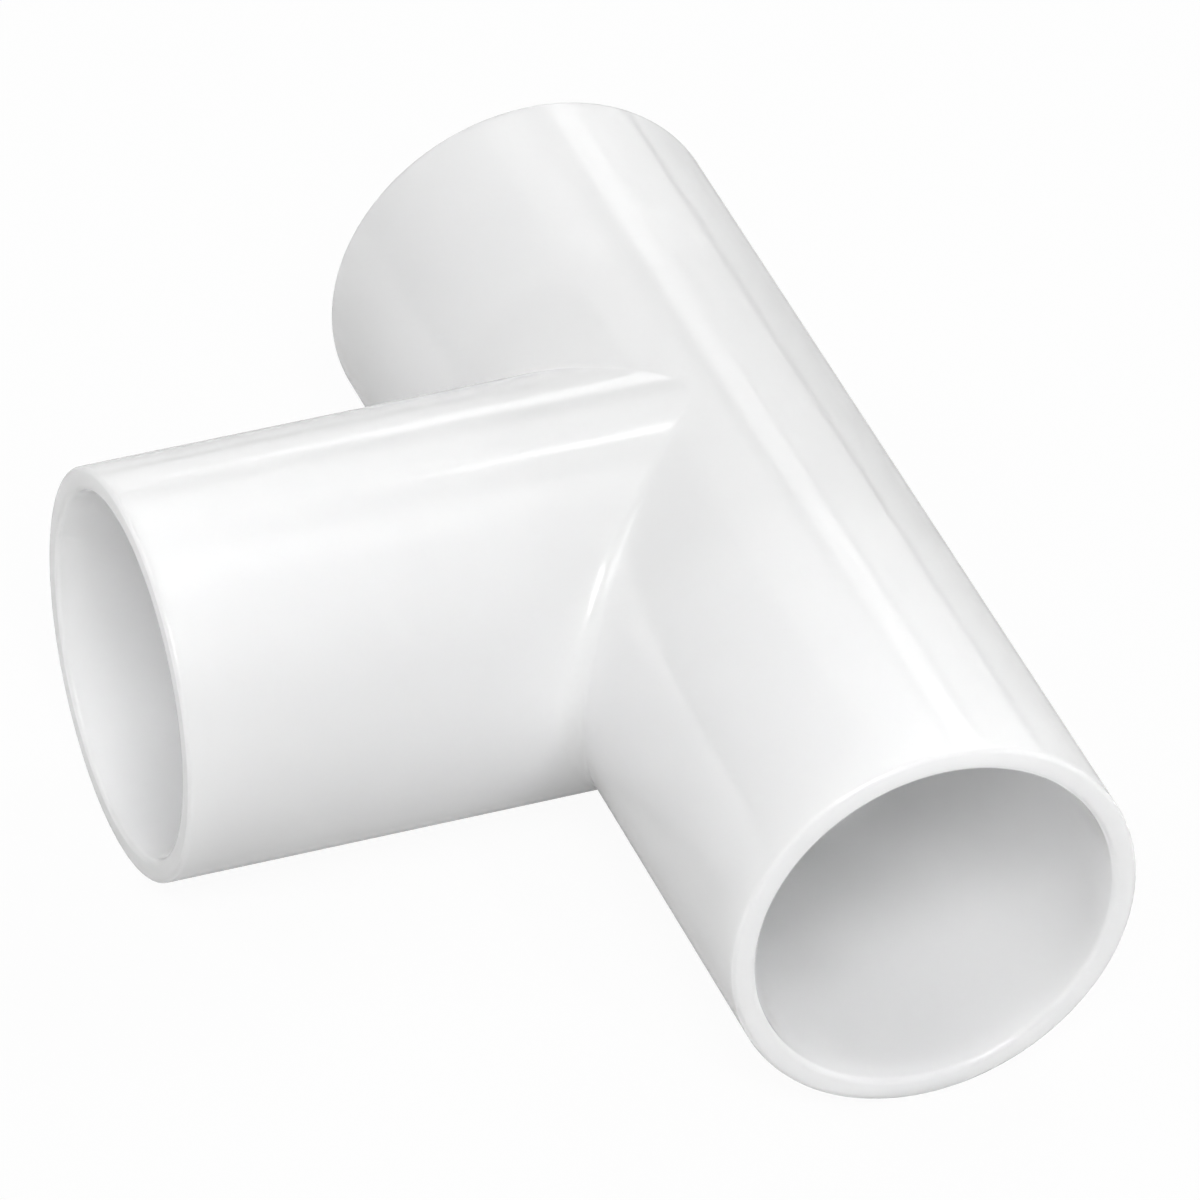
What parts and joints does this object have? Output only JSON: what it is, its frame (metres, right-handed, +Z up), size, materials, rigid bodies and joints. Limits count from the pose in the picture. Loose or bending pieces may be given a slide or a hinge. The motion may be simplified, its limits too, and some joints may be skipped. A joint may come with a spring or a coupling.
{
  "type": "socket tee pipe fitting",
  "caption": "Smooth plastic tee fitting: a straight run with one longer arm, a square branch of the same bore, and plain sockets for cemented pipe.",
  "frame": {"origin": "on the resting surface, under the middle of the fitting's box as it lies on its side", "axes": "+X along the run towards its longer arm, -Y along the branch, +Z up, square to both axes"},
  "size_m": [0.1836, 0.1342, 0.0684],
  "materials": {
    "moulded_plastic": "smooth moulded gloss"
  },
  "bodies": {
    "root": {"tee": "moulded_plastic"}
  },
  "joints": []
}
